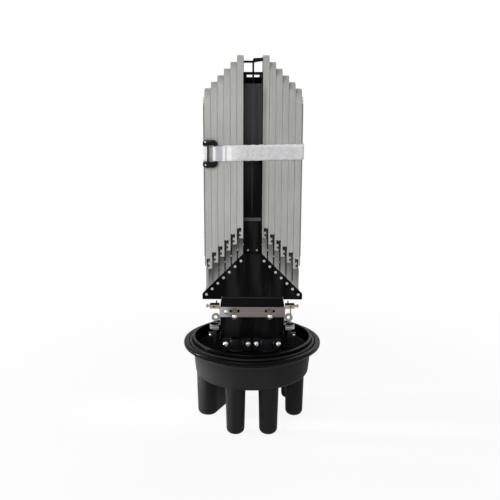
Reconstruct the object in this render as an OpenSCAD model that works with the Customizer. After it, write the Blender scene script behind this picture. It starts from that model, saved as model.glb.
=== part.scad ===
// Dome splice closure, standing open: base moulding with closed cable ports, the
// frame on it and two stepped stacks of hinged splice trays held by a strap.
// +Z is up and the trays' front edges face -Y. The origin is on the closure's axis
// in the plane of the ports' closed ends. All sizes are in millimetres.

/* [Base moulding] */
// Length of the cable ports below the collar
port_len = 95.5; // [75:0.5:125]
// Radius of the collar just under the flange
collar_r = 116; // [110:0.5:140]
// Height of the collar from the ports' roots to the flange
collar_h = 56.5; // [44:0.5:70]
// How much the collar's radius shrinks towards its foot
collar_draft = 5; // [1:0.5:8]
// Rounding of the collar's lower edge
collar_edge_r = 10; // [4:0.5:14]
// Wall of the collar and of the bowl's floor
base_wall = 4; // [3:0.1:5]
// How far the flange stands out beyond the collar
flange_out = 17.5; // [15:0.5:26]
// Height of the bead round the flange
bead_h = 10; // [8:0.5:14]
// Width of the bead round the flange
bead_w = 11; // [9:0.5:12]
// Rounding of the bead's edges
bead_edge_r = 3.2; // [1:0.1:3.6]
// Thickness of the flange under the seal groove
web_t = 5; // [4:0.5:7]
// Height of the lip above the flange's underside
lip_h = 18; // [15:0.5:24]
// Thickness of the lip
lip_t = 3.4; // [3:0.1:6]
// Width of the groove that holds the seal
groove_w = 7.4; // [6.8:0.1:8]
// Radius of the seal ring's section
seal_r = 3.3; // [2.5:0.1:3.3]

/* [Cable ports] */
// Radius of a round port at its root
port_r = 19.3; // [15:0.1:20]
// Radius of a round port at its closed end
port_end_r = 17.3; // [13:0.1:19]
// Rounding of the ports' closed ends
port_edge_r = 11; // [6:0.5:12]
// Wall of the ports
port_wall = 2.8; // [2:0.1:4]
// Directions of the round ports, counted from +X
port_angles = [-111.5, -68.5, 4, 67, 111.8];
// Direction of the small port
small_port_angle = 32; // [28:0.5:36]
// Radius of the small port at its root
small_port_r = 12.5; // [10:0.1:14]
// Radius of the small port at its closed end
small_port_end_r = 11.5; // [11.2:0.1:13]
// How far the small port ends above the other ports
small_port_lift = 19; // [0:1:40]
// Rounding of the small port's closed end
small_port_edge_r = 10.5; // [4:0.5:11]
// Direction of the oval port
oval_angle = 156; // [153:0.5:158]
// Radius of the oval port's ends at their root
oval_r = 22.4; // [18:0.1:23]
// Radius of the oval port's ends at its closed end
oval_end_r = 20.4; // [16:0.1:22]
// Distance between the centres of the oval port's two round ends
oval_gap = 54; // [40:1:56]

/* [Frame] */
// Width of the frame's foot
foot_w = 120; // [100:1:126]
// Depth of the frame's foot
foot_d = 90; // [76:1:96]
// Height of the foot's upper box
foot_h = 87.5; // [70:0.5:110]
// Wall of the foot
foot_wall = 2.5; // [2:0.1:4]
// Height of the pressed deck on the foot
deck_h = 15.8; // [10:0.2:24]
// Wall of the deck
deck_wall = 2.5; // [1.5:0.1:3]
// Half width of the triangular plates at their foot
delta_half_w = 94; // [90:0.5:115]
// Half width of the triangular plates at their top
delta_top_half_w = 17; // [12:0.5:19]
// Thickness of the triangular plates
delta_t = 3; // [2:0.1:5]
// Height of the plates' upright ends above the deck
delta_sill = 6.1; // [3:0.1:12]
// How far the plates' wings hang below the deck's top
wing_drop = 5.1; // [1:0.1:8]
// Number of tie rods along each slope
rod_count = 7; // [5:1:8]
// Radius of a tie rod
rod_r = 2.5; // [1.5:0.1:2.8]
// Clear depth between the front and back triangular plates
frame_gap = 80; // [70:1:92]

/* [Trays] */
// Number of trays in each stack
trays_per_side = 6; // [3:1:6]
// Step from one tray to the next, sideways and upwards
tray_pitch = 11.5; // [10.6:0.1:11.9]
// Gap between neighbouring trays
tray_gap = 0.4; // [0.3:0.1:1]
// Length of a tray above its hinge cut-out
tray_len = 305.8; // [240:1:370]
// Depth of a tray from front to back
tray_d = 118; // [112:1:122]
// Floor and walls of a tray
tray_wall = 1.8; // [1.2:0.1:2.2]
// Radius of a tray's upper corners
tray_corner_r = 22; // [6:1:30]
// Thickness of the clear lid on each stack's outermost tray
lid_t = 2.4; // [1.5:0.1:3]
// Radius of a hinge barrel
barrel_r = 2.4; // [2:0.1:2.7]
// Rise of the hinge line above the triangular plates' slope
hinge_rise = 45.2; // [38:0.2:60]

/* [Column and strap] */
// Width of the central column
column_w = 34; // [28:0.5:36]
// Depth of the central column
column_d = 76; // [60:1:78]
// Wall of the column
column_wall = 2.5; // [2:0.1:4]
// Distance of the column's top below the innermost trays' tops
column_drop = 28.6; // [15:0.2:60]
// Width of the strap
strap_w = 28; // [20:1:34]
// Thickness of the strap
strap_t = 2.2; // [1.5:0.1:3]
// Height of the strap's middle above the outermost hinges
strap_rise = 207.4; // [120:1:260]

/* [Hidden] */
$fn = 64;
// Radial clearance of a rod or barrel in its hole
running_gap = 0.05;
// Gap between pieces that lie against each other
seat_gap = 0.3;

left_trays = [for (i = [1:trays_per_side]) str("tray_left_", i)];
right_trays = [for (i = [1:trays_per_side]) str("tray_right_", i)];

// Heights of the base
flange_z = port_len + collar_h;
floor_z = port_len + base_wall;
web_z = flange_z + web_t;
lip_z = flange_z + lip_h;
collar_foot_r = collar_r - collar_draft;
flange_r = collar_r + flange_out;
bead_z = flange_z + bead_h;
lip_r = flange_r - bead_w - groove_w;
// The lip's upper part is a true cylinder that the dome slides over
lip_land_h = 5;
lip_land_step = 1.2;
lip_edge_r = 1.5;

// Frame
boss_h = 8;
boss_r = 6;
foot_plate_z = floor_z + boss_h;
foot_plate_t = 3;
shelf_z = flange_z + 4;
foot_top_z = shelf_z + foot_h;
pedestal_w = foot_w - 20;
pedestal_d = foot_d - 14;
foot_screw_x = pedestal_w / 2 - 9;
foot_screw_y = pedestal_d / 2 - 9;
foot_screw_r = 2;
deck_top_z = foot_top_z + deck_h;
deck_lean_x = 4;
deck_lean_y = 6;
deck_foot_w = foot_w + 1;
deck_foot_d = foot_d + 10;
deck_edge = 1.2;
frame_half_d = frame_gap / 2;
delta_foot_z = deck_top_z + delta_sill;
// Along a slope, x + z has this value
slope_sum = delta_half_w + delta_foot_z;
delta_corner_r = 3;
delta_back_half_w = delta_half_w - 3;
rod_inset = 9;
rod_first_x = delta_top_half_w + 4.6;
rod_last_x = delta_half_w - 7.6;
rod_step = (rod_last_x - rod_first_x) / (rod_count - 1);
rod_head_h = 0.8;

// Trays: each is drawn about its hinge, with its outer side towards +X
tray_t = tray_pitch - tray_gap;
tray_half_d = tray_d / 2;
barrel_offset = 0.7;
tray_inner_x = column_w / 2 + tray_gap;
first_hinge_x = tray_inner_x + tray_t / 2 + barrel_offset;
hinge_sum = slope_sum + hinge_rise;
tray_in = -tray_t / 2 - barrel_offset;
tray_out = tray_t / 2 - barrel_offset;
tooth_t = 3.4;
notch_rise = barrel_r + tooth_t + 7.1;
tray_top = notch_rise + tray_len;
tail_drop = barrel_r + running_gap + tooth_t;
tail_t = 3.2;
leg_room = 4.2;
block_half_d = frame_half_d - seat_gap;
tail_start = block_half_d + 1.3;
barrel_half_len = tray_half_d - 0.5;
fin_w = 7.6;
fin_depth = 12;
knuckle_r = 4.6;
// Bush plates between the carrier and the trays' lugs
bush_y = block_half_d + 0.2;
bush_t = 0.7;
bush_top = 8.5;
bush_in = 4;
bush_out = 4.7;
// Steps at the front and back of the carrier
ledge_in = 6.1;
ledge_out = 2.4;
last_ledge_out = 4.7;
ledge_half_d = tray_half_d - 3;
ledge_lift = 3.4;
rail_top = 4;
rail_bottom = 28;
rail_floor_t = 4;
rail_foot_z = deck_top_z - wing_drop + 1.5;
rail_foot_x = slope_sum - rail_bottom - rail_foot_z;
outer_hinge_z = hinge_z(trays_per_side);
stack_out_x = hinge_x(trays_per_side) + tray_out;

// Column
column_half_w = column_w / 2;
column_half_d = column_d / 2;
column_top_z = hinge_z(1) + tray_top - column_drop;
column_rail_h = 4.6;
column_front_drop = 20;
column_back_drop = 8.6;
column_back_edge = 5.2;
cover_t = 1.6;
cover_foot_z = delta_top_z() + 68;
bar_h = 6;

// Strap and buckle
strap_z = outer_hinge_z + strap_rise;
strap_in_x = stack_out_x + lid_t + 0.4;
strap_in_y = tray_half_d + 0.4;
buckle_bar_r = 1.4;

function hinge_x(i) = first_hinge_x + (i - 1) * tray_pitch;
function hinge_z(i) = hinge_sum - hinge_x(i);
function delta_top_z() = slope_sum - delta_top_half_w;
function unit(v) = v / norm(v);

// Points of the arc that rounds corner p between its neighbours a and b
function fillet(p, a, b, r, n = 6) =
    let (
        u = unit(a - p),
        v = unit(b - p),
        half = acos(u * v) / 2,
        c = p + unit(u + v) * r / sin(half),
        s = p + u * r / tan(half) - c,
        e = p + v * r / tan(half) - c,
        start = atan2(s[1], s[0]),
        turn = (atan2(e[1], e[0]) - start + 540) % 360 - 180
    )
    [for (k = [0:n]) c + r * [cos(start + turn * k / n), sin(start + turn * k / n)]];

// An outline with every corner rounded; r is one radius or a list of them
function rounded(pts, r) =
    let (n = len(pts))
    [for (i = [0:n - 1])
        each fillet(pts[i], pts[(i + n - 1) % n], pts[(i + 1) % n], is_list(r) ? r[i] : r)];

function rect(x0, y0, x1, y1) = [[x0, y0], [x1, y0], [x1, y1], [x0, y1]];

// Turns a drawing made for the right side into the left one
module side_of(side) {
    if (side < 0) {
        mirror([1, 0, 0]) children();
    } else {
        children();
    }
}

// Extrudes a drawing of (y, z) along +X
module along_x(t) {
    rotate([90, 0, 90]) linear_extrude(t) children();
}

// Extrudes a drawing of (x, z) along +Y
module along_y(t) {
    translate([0, t, 0]) rotate([90, 0, 0]) linear_extrude(t) children();
}

module rod_y(r, y0, y1) {
    translate([0, y0, 0]) rotate([-90, 0, 0]) cylinder(r = r, h = y1 - y0);
}

// A domed screw head with a cross recess and its shank; the head faces +Z
module screw(head_r, head_h, shank_r, shank_len) {
    dome_r = (head_r * head_r + head_h * head_h) / (2 * head_h);
    recess = head_r * 0.95;
    recess_w = head_r * 0.26;
    difference() {
        intersection() {
            translate([0, 0, head_h - dome_r]) sphere(r = dome_r);
            cylinder(r = head_r, h = head_h);
        }
        for (a = [0, 90]) rotate([0, 0, a])
            translate([-recess / 2, -recess_w / 2, head_h * 0.5]) cube([recess, recess_w, head_h]);
    }
    translate([0, 0, -shank_len]) cylinder(r = shank_r, h = shank_len + head_h * 0.3);
}

// ---- Base ----

module quarter(r) {
    intersection() {
        circle(r = r);
        translate([0, -r]) square(r);
    }
}

module rounded_box_2d(x0, y0, x1, y1, r) {
    translate([x0 + r, y0]) square([x1 - x0 - 2 * r, y1 - y0]);
    translate([x0, y0 + r]) square([x1 - x0, y1 - y0 - 2 * r]);
    for (x = [x0 + r, x1 - r], y = [y0 + r, y1 - r]) translate([x, y]) circle(r = r);
}

// Half section of the collar, the flange, its bead and the lip
module base_section() {
    difference() {
        union() {
            polygon([
                [0, port_len], [collar_foot_r - collar_edge_r, port_len],
                [collar_foot_r, port_len + collar_edge_r], [collar_r, flange_z],
                [flange_r - bead_w / 2, flange_z + bead_edge_r / 2],
                [flange_r - bead_w / 2, web_z], [0, web_z]
            ]);
            translate([collar_foot_r - collar_edge_r, port_len + collar_edge_r]) quarter(collar_edge_r);
            rounded_box_2d(flange_r - bead_w, flange_z + 1, flange_r, bead_z, bead_edge_r);
            translate([0, web_z - 1]) square([lip_r, lip_h - web_t - lip_land_h - lip_edge_r + 1]);
            translate([0, lip_z - lip_land_h - lip_edge_r])
                square([lip_r + lip_land_step, lip_land_h]);
            translate([0, lip_z - lip_edge_r]) square([lip_r + lip_land_step - lip_edge_r, lip_edge_r]);
            translate([lip_r + lip_land_step - lip_edge_r, lip_z - lip_edge_r]) circle(r = lip_edge_r);
        }
        bowl_section();
    }
}

// Half section of the bowl's hollow
module bowl_section() {
    r_top = lip_r - lip_t;
    r_foot = collar_foot_r - base_wall;
    polygon([
        [0, floor_z], [r_foot - collar_edge_r / 2, floor_z], [r_foot, floor_z + collar_edge_r / 2],
        [r_top, flange_z], [r_top, lip_z + 1], [0, lip_z + 1]
    ]);
}

// Half section of a port, or of its hollow when inset is the wall
module port_section(root_r, end_r, edge_r, top, inset) {
    r = end_r - inset;
    edge = edge_r - inset;
    translate([0, inset]) polygon([
        [0, 0], [r - edge, 0], [r, edge], [root_r - inset, top - inset], [0, top - inset]
    ]);
    translate([r - edge, inset + edge]) intersection() {
        quarter(edge);
        translate([0, -edge]) square(edge);
    }
}

module round_port(inset, top) {
    rotate_extrude() port_section(port_r, port_end_r, port_edge_r, top, inset);
}

module small_port(inset, top) {
    rotate_extrude() port_section(small_port_r, small_port_end_r, small_port_edge_r, top, inset);
}

module oval_port(inset, top) {
    for (end = [0, 180]) rotate([0, 0, end]) translate([0, oval_gap / 2, 0])
        rotate_extrude(angle = 180) port_section(oval_r, oval_end_r, port_edge_r, top, inset);
    translate([0, oval_gap / 2, 0]) rotate([90, 0, 0]) linear_extrude(oval_gap) {
        port_section(oval_r, oval_end_r, port_edge_r, top, inset);
        mirror([1, 0]) port_section(oval_r, oval_end_r, port_edge_r, top, inset);
    }
}

module all_ports(inset, top) {
    for (a = port_angles) rotate([0, 0, a]) translate([port_circle_r(), 0, 0]) round_port(inset, top);
    rotate([0, 0, small_port_angle]) translate([port_circle_r(), 0, small_port_lift])
        small_port(inset, top - small_port_lift);
    rotate([0, 0, oval_angle]) translate([oval_circle_r(), 0, 0]) oval_port(inset, top);
}

function port_circle_r() = collar_foot_r - port_r - 6.7;
function oval_circle_r() = collar_foot_r - oval_r - 4.3;

module base_body() {
    color("#3c3d3f") {
        difference() {
            union() {
                rotate_extrude() base_section();
                all_ports(0, port_len + base_wall / 2);
            }
            all_ports(port_wall, floor_z + 1);
        }
        for (x = [-foot_screw_x, foot_screw_x], y = [-foot_screw_y, foot_screw_y])
            translate([x, y, floor_z - 1]) difference() {
                cylinder(r = boss_r, h = boss_h + 1);
                translate([0, 0, 1]) cylinder(r = foot_screw_r + running_gap, h = boss_h + 1);
            }
    }
}

module seal_ring() {
    color("#111111")
        translate([0, 0, web_z + seal_r + 0.1]) rotate_extrude()
            translate([lip_r + groove_w / 2, 0]) circle(r = seal_r);
}

// ---- Frame ----

module frame_foot() {
    color("#18181a") difference() {
        union() {
            translate([-foot_w / 2, -foot_d / 2, shelf_z]) cube([foot_w, foot_d, foot_h]);
            translate([-pedestal_w / 2, -pedestal_d / 2, foot_plate_z])
                cube([pedestal_w, pedestal_d, shelf_z - foot_plate_z + 1]);
        }
        translate([-foot_w / 2 + foot_wall, -foot_d / 2 + foot_wall, shelf_z + foot_wall])
            cube([foot_w - 2 * foot_wall, foot_d - 2 * foot_wall, foot_h]);
        translate([-pedestal_w / 2 + foot_wall, -pedestal_d / 2 + foot_wall, foot_plate_z + foot_plate_t])
            cube([pedestal_w - 2 * foot_wall, pedestal_d - 2 * foot_wall, shelf_z]);
        // Way up for the fibre tubes
        translate([-pedestal_w / 2 + 20, -pedestal_d / 2 + 20, foot_plate_z - 1])
            cube([pedestal_w - 40, pedestal_d - 40, foot_plate_t + 2]);
        // Windows in the sides and back
        for (z = [foot_plate_z + 10]) translate([0, 0, z]) {
            translate([-foot_w / 2, -pedestal_d / 4, 0]) cube([foot_w, pedestal_d / 2, shelf_z - z - 10]);
            translate([-pedestal_w / 4, -foot_d / 2, 0]) cube([pedestal_w / 2, foot_d, shelf_z - z - 10]);
        }
        translate([-foot_w * 0.3, 0, shelf_z + foot_h * 0.3]) along_y(foot_d)
            polygon(rounded(rect(0, 0, foot_w * 0.6, foot_h * 0.45), 8));
        for (x = [-foot_screw_x, foot_screw_x], y = [-foot_screw_y, foot_screw_y])
            translate([x, y, foot_plate_z - 1])
                cylinder(r = foot_screw_r + running_gap, h = foot_plate_t + 2);
        // Holes for the bracket's bolts and the saddles' screws
        for (x = [-bolt_x, bolt_x]) translate([x, 0, slot_z])
            rod_y(bolt_r + running_gap, -foot_d / 2 - 1, -foot_d / 2 + foot_wall + 1);
        for (x = saddle_screw_xs) translate([x, 0, saddle_z])
            rod_y(saddle_screw_r + running_gap, -foot_d / 2 - 1, -foot_d / 2 + foot_wall + 1);
    }
}

module foot_screws() {
    color("silver")
        for (x = [-foot_screw_x, foot_screw_x], y = [-foot_screw_y, foot_screw_y])
            translate([x, y, foot_plate_z + foot_plate_t])
                screw(4, 2.6, foot_screw_r, foot_plate_t + boss_h - 1);
}

// Outline of a box that leans in from its foot, with its top edges cut off
module leaning_outline(w, lean, h) {
    top_w = w / 2 - lean;
    edge_w = w / 2 - lean * (1 - deck_edge / h);
    polygon([
        [-w / 2, 0], [w / 2, 0], [edge_w, h - deck_edge], [top_w - deck_edge, h],
        [deck_edge - top_w, h], [-edge_w, h - deck_edge]
    ]);
}

module frustum(w, d, lean_x, lean_y, h) {
    intersection() {
        translate([0, -d / 2, 0]) along_y(d) leaning_outline(w, lean_x, h);
        translate([-w / 2, 0, 0]) along_x(w) leaning_outline(d, lean_y, h);
    }
}

module deck_plate() {
    color("#1b1b1d") translate([0, 0, foot_top_z]) difference() {
        frustum(deck_foot_w, deck_foot_d, deck_lean_x, deck_lean_y, deck_h);
        translate([0, 0, -deck_wall])
            frustum(
                deck_foot_w - 2 * deck_wall, deck_foot_d - 2 * deck_wall, deck_lean_x, deck_lean_y, deck_h);
        // Slots for the fibre tubes
        for (s = [-1, 1]) translate([s * (column_half_w + 19) - 14, -frame_half_d + 12, 0])
            cube([28, frame_gap - 24, deck_h + 1]);
    }
}

// Outline of a triangular plate; its middle stands on the deck and its wings hang beside it
module delta_outline(half_w) {
    notch_w = deck_foot_w / 2 - deck_lean_x * (1 - wing_drop / deck_h) + seat_gap;
    wing_z = deck_top_z - wing_drop;
    right = [
        [notch_w, deck_top_z], [notch_w, wing_z], [half_w, wing_z],
        [half_w, slope_sum - half_w], [delta_top_half_w, delta_top_z()]
    ];
    left = [for (i = [len(right) - 1:-1:0]) [-right[i][0], right[i][1]]];
    r = [1, 1, 2, delta_corner_r, delta_corner_r];
    polygon(rounded(concat(right, left), concat(r, [for (i = [4:-1:0]) r[i]])));
}

module delta_plate(y, half_w) {
    color("#151517") translate([0, y, 0]) difference() {
        along_y(delta_t) delta_outline(half_w);
        for (s = [-1, 1], k = [0:rod_count - 1]) translate([s * rod_x(k), 0, rod_z(k)])
            rod_y(rod_r + running_gap, -1, delta_t + 1);
    }
}

function rod_x(k) = rod_first_x + k * rod_step;
function rod_z(k) = slope_sum - rod_inset - rod_x(k);

module tie_rods(side) {
    reach = frame_half_d + delta_t + rod_head_h;
    color("silver") side_of(side) for (k = [0:rod_count - 1])
        translate([rod_x(k), 0, rod_z(k)]) rod_y(rod_r, -reach, reach);
}

// The step under a tray's hinge at the front and the back, standing out over the plates
module ledge(x, out) {
    x0 = x - ledge_in;
    x1 = x + out;
    top = hinge_sum - x - tail_drop - 1.2;
    start = block_half_d - fin_depth / 2;
    for (y = [-ledge_half_d, start]) translate([0, y, 0]) along_y(ledge_half_d - start)
        polygon([[x0, slope_sum - x0 + ledge_lift], [x1, slope_sum - x1 + ledge_lift], [x1, top], [x0, top]]);
}

// Stepped carrier: two rails along the slope with a leg and an eye under each tray
module hinge_block(side) {
    x0 = delta_top_half_w + 0.5;
    x1 = delta_half_w - 3;
    color("#a9aaa6") side_of(side) difference() {
        union() {
            for (y = [-block_half_d, block_half_d - fin_depth]) translate([0, y, 0]) {
                along_y(fin_depth) polygon([
                    [x0, slope_sum - rail_bottom - x0], [rail_foot_x, rail_foot_z], [x1, rail_foot_z],
                    [x1, slope_sum - rail_top - x1], [x0, slope_sum - rail_top - x0]
                ]);
                for (i = [1:trays_per_side]) {
                    translate([hinge_x(i) - fin_w / 2, 0, slope_sum - hinge_x(i) - rail_bottom / 2])
                        cube([fin_w, fin_depth, hinge_rise + rail_bottom / 2]);
                    translate([hinge_x(i), 0, hinge_z(i)]) rod_y(knuckle_r, 0, fin_depth);
                }
            }
            for (i = [1:trays_per_side])
                ledge(hinge_x(i), i == trays_per_side ? last_ledge_out : ledge_out);
            translate([0, -block_half_d, 0]) along_y(2 * block_half_d) polygon([
                [x0, slope_sum - rail_bottom - x0], [rail_foot_x, rail_foot_z], [x1, rail_foot_z],
                [x1, rail_foot_z + rail_floor_t], [rail_foot_x, rail_foot_z + rail_floor_t],
                [x0, slope_sum - rail_bottom + rail_floor_t - x0]
            ]);
        }
        for (k = [0:rod_count - 1]) translate([rod_x(k), 0, rod_z(k)])
            rod_y(rod_r + running_gap, -frame_half_d, frame_half_d);
        for (i = [1:trays_per_side]) translate([hinge_x(i), 0, hinge_z(i)])
            rod_y(barrel_r + running_gap, -frame_half_d, frame_half_d);
    }
}

// Hinge rods, each with a bush plate in front of the carrier's eye at both ends
module hinge_barrels(side) {
    color("#101011") side_of(side) for (i = [1:trays_per_side]) translate([hinge_x(i), 0, hinge_z(i)]) {
        rod_y(barrel_r, -barrel_half_len, barrel_half_len);
        for (y = [-bush_y - bush_t, bush_y]) translate([0, y, 0]) along_y(bush_t)
            polygon(rounded(rect(-bush_in, -tail_drop - 0.4, bush_out, bush_top), 1));
    }
}

// ---- Column ----

module column() {
    color("#1d1d20") difference() {
        translate([-column_half_w, -column_half_d, deck_top_z])
            cube([column_w, column_d, column_top_z - deck_top_z]);
        translate([-column_half_w + column_wall, -column_half_d + column_wall, deck_top_z + column_wall])
            cube([column_w - 2 * column_wall, column_d - 2 * column_wall, column_top_z]);
        // Openings under the top rails at the front and the back
        translate([-column_half_w + column_wall, -column_half_d - 1, column_top_z - column_front_drop])
            cube([column_w - 2 * column_wall, column_wall + 2, column_front_drop - column_rail_h]);
        translate([-column_half_w + column_back_edge, column_half_d - column_wall - 1, 0])
            translate([0, 0, column_top_z - column_back_drop])
                cube([column_w - 2 * column_back_edge, column_wall + 2, column_back_drop - column_rail_h]);
        // Long side windows that the fibre tubes leave through
        for (k = [0:2]) translate([-column_half_w - 1, 0, delta_top_z() + 30 + k * 92]) along_x(column_w + 2)
            polygon(rounded(rect(-column_half_d + 12, 0, column_half_d - 12, 70), 8));
        for (x = [-column_screw_x, column_screw_x]) translate([x, 0, column_screw_z])
            rod_y(column_screw_r + running_gap, -column_half_d - 1, -column_half_d + column_wall + 1);
    }
}

column_screw_x = 8.6;
column_screw_z = delta_top_z() + 5.5;
column_screw_r = 1.5;

module column_cover() {
    foot = cover_foot_z;
    top = column_top_z - column_front_drop;
    rib_x = column_half_w * 0.4;
    color("#37373a") translate([0, -column_half_d - cover_t, 0]) {
        along_y(cover_t) polygon(rounded(rect(-column_half_w + 1, foot, column_half_w - 1, top), 2));
        for (x = [-rib_x, rib_x]) translate([x - 1.2, -1, foot + 6]) cube([2.4, 1.5, top - foot - 12]);
    }
}

module column_bar() {
    z = cover_foot_z - bar_h - seat_gap;
    color("#8e8f8c") translate([0, -column_half_d - 3, 0])
        along_y(3) polygon(rounded(rect(-column_half_w + 1, z, column_half_w - 1, z + bar_h), 1.5));
}

module column_screws() {
    color("silver") for (x = [-column_screw_x, column_screw_x])
        translate([x, -column_half_d, column_screw_z]) rotate([90, 0, 0]) screw(3, 2, column_screw_r, 4);
}

// T-shaped stop that keeps the two innermost trays apart above the column
module tray_stop() {
    t = 3.2;
    arm_z = column_top_z + 19.4;
    depth = 40;
    reach = tray_inner_x - seat_gap;
    color("#161618") {
        translate([-t / 2, -column_half_d + column_wall + seat_gap, column_top_z - column_front_drop - 12])
            cube([t, depth, arm_z - column_top_z + column_front_drop + 12]);
        translate([-reach, -column_half_d + column_wall + seat_gap, arm_z - t]) cube([reach, depth, t]);
        translate([0, -column_half_d + column_wall + seat_gap, 0]) along_y(depth)
            polygon([[-t / 2, arm_z - t], [reach, arm_z], [reach, arm_z + t + 2], [0, arm_z + t + 1]]);
    }
}

// ---- Cable fixings in front of and beside the foot ----

bracket_z = foot_top_z - 10;
bracket_h = 19.6;
bracket_t = 2;
bracket_half_w = foot_w / 2 + 1.5;
bracket_y = -foot_d / 2 - 10;
slot_z = bracket_z + 2;
slot_half_w = 9.7;
slot_half_h = 2.8;
bolt_x = 33;
bolt_r = 2.4;
lug_z = bracket_z - bracket_h / 2 + 1;
lug_r = 5.8;
end_screw_x = -bracket_half_w + 12.5;
nut_r = 4.5;
nut_h = 2.6;

module bracket_outline() {
    polygon(rounded(rect(
        -bracket_half_w, bracket_z - bracket_h / 2, bracket_half_w, bracket_z + bracket_h / 2), 5));
    for (x = [-bolt_x, bolt_x]) translate([x, lug_z]) circle(r = lug_r);
}

module cross_bracket() {
    color("#b5b2a8") translate([0, bracket_y - bracket_t, 0]) difference() {
        along_y(bracket_t) bracket_outline();
        for (x = [-bolt_x, bolt_x]) {
            translate([0, -1, 0]) along_y(bracket_t + 2)
                polygon(rounded(rect(x - slot_half_w, slot_z - slot_half_h,
                    x + slot_half_w, slot_z + slot_half_h), slot_half_h - 0.1));
            translate([x, 0, lug_z]) rod_y(2 + running_gap, -1, bracket_t + 1);
        }
        translate([end_screw_x, 0, bracket_z]) rod_y(1.6 + running_gap, -1, bracket_t + 1);
    }
}

// Brass blocks that carry the bracket, each with a stud through its slot
module bracket_bolts() {
    inside = -foot_d / 2 + foot_wall + 3;
    color("#b58d4a") for (x = [-bolt_x, bolt_x]) difference() {
        union() {
            translate([0, bracket_y, 0]) along_y(-foot_d / 2 - bracket_y) polygon(rounded(
                rect(x - 5.5, lug_z - 4.6, x + 5.5, slot_z + 4.5), 1.5));
            translate([x, 0, slot_z]) rod_y(bolt_r, bracket_y - bracket_t - nut_h - 0.8, inside);
        }
        translate([x, 0, lug_z]) rod_y(2 + running_gap, bracket_y - 1, bracket_y + 6);
    }
}

module bracket_screws() {
    color("#d8d8d6") {
        for (x = [-bolt_x, bolt_x]) translate([x, bracket_y - bracket_t, lug_z])
            rotate([90, 0, 0]) screw(5.3, 4, 2, bracket_t + 5);
        translate([end_screw_x, bracket_y - bracket_t, bracket_z])
            rotate([90, 0, 0]) screw(4.2, 2.4, 1.6, bracket_t + 4);
    }
}

// Hexagon nuts that hold the bracket on the blocks' studs
module bracket_nuts() {
    color("#a8884e") for (x = [-bolt_x, bolt_x])
        translate([x, bracket_y - bracket_t, slot_z]) difference() {
            rotate([90, 0, 0]) cylinder(r = nut_r, h = nut_h, $fn = 6);
            rod_y(bolt_r + running_gap, -nut_h - 1, 1);
        }
}

terminal_w = 18;
terminal_h = 8;
terminal_tongue = 8;
terminal_d = 12;
terminal_z = bracket_z + bracket_h / 2 + 0.75;

// Brass terminal block with a tongue behind the end of the cross bracket and a stud on top
module terminal(side) {
    foot = terminal_z - terminal_h / 2;
    color("#b79a86") side_of(side) translate([bracket_half_w, bracket_y - bracket_t, foot]) {
        difference() {
            along_y(terminal_d) polygon(rounded(rect(0, 0, terminal_w, terminal_h), 1.2));
            translate([terminal_w * 0.55, 0, terminal_h / 2]) rod_y(2.2, -1, terminal_d + 1);
        }
        translate([-terminal_tongue, bracket_t, -1.5]) cube([terminal_tongue + 1, 2.5, 4.5]);
        translate([5.4, terminal_d / 2, terminal_h - 0.5]) cylinder(r = 1.2, h = 6.5);
    }
}

module terminal_screws() {
    x = bracket_half_w + terminal_w;
    color("#c9c7c2") for (side = [-1, 1]) side_of(side)
        translate([x, bracket_y - bracket_t + terminal_d / 2, terminal_z]) rotate([0, 90, 0]) {
            cylinder(r = 2, h = 4.5);
            translate([0, 0, 4.5]) screw(4, 3.2, 2, 1);
        }
}

module earth_rod() {
    top = terminal_z - terminal_h / 2;
    color("#c9c7c2") translate([bracket_half_w + 10.5, bracket_y - bracket_t + terminal_d / 2, top - 30])
        cylinder(r = 1.3, h = 30);
}

trough_x = foot_w / 2 + 11;
trough_y = -20;
trough_r = 9.6;
trough_wall = 2.5;
trough_z0 = shelf_z + 6;
trough_z1 = shelf_z + 42;
trough_lug_z = shelf_z + 23;
trough_lug_y = trough_y - 9.1;
trough_screw_x = trough_x + 9;
clamp_z = shelf_z + 38;
clamp_turn = -95;
clamp_h = 9.3;
clamp_t = 0.8;

// Half round trough that a cable is clamped into, on a block against the foot's side
module trough(side) {
    color("#131315") side_of(side) difference() {
        union() {
            translate([trough_x, trough_y, trough_z0]) cylinder(r = trough_r, h = trough_z1 - trough_z0);
            translate([foot_w / 2, trough_y - 6, trough_z0]) cube([trough_x - foot_w / 2 - 6, 12, 19]);
        }
        translate([trough_x, trough_y, trough_z0 - 1])
            cylinder(r = trough_r - trough_wall, h = trough_z1 - trough_z0 + 2);
        translate([trough_x + 3, trough_y - trough_r - 1, trough_z0 - 1])
            cube([trough_r, 2 * trough_r + 2, trough_z1 - trough_z0 + 2]);
    }
    color("#131315") side_of(side) translate([0, trough_lug_y, 0]) difference() {
        along_y(2.6) polygon(rounded(
            rect(trough_x + 1, trough_lug_z - 5, trough_screw_x + 4, trough_lug_z + 5), 2));
        translate([trough_screw_x, 0, trough_lug_z]) rod_y(1.5 + running_gap, -1, 4);
    }
}

module trough_screws() {
    color("#d8d8d6") for (side = [-1, 1])
        translate([side * trough_screw_x, trough_lug_y, trough_lug_z]) rotate([90, 0, 0])
            screw(2.7, 1.8, 1.5, 5);
}

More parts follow.
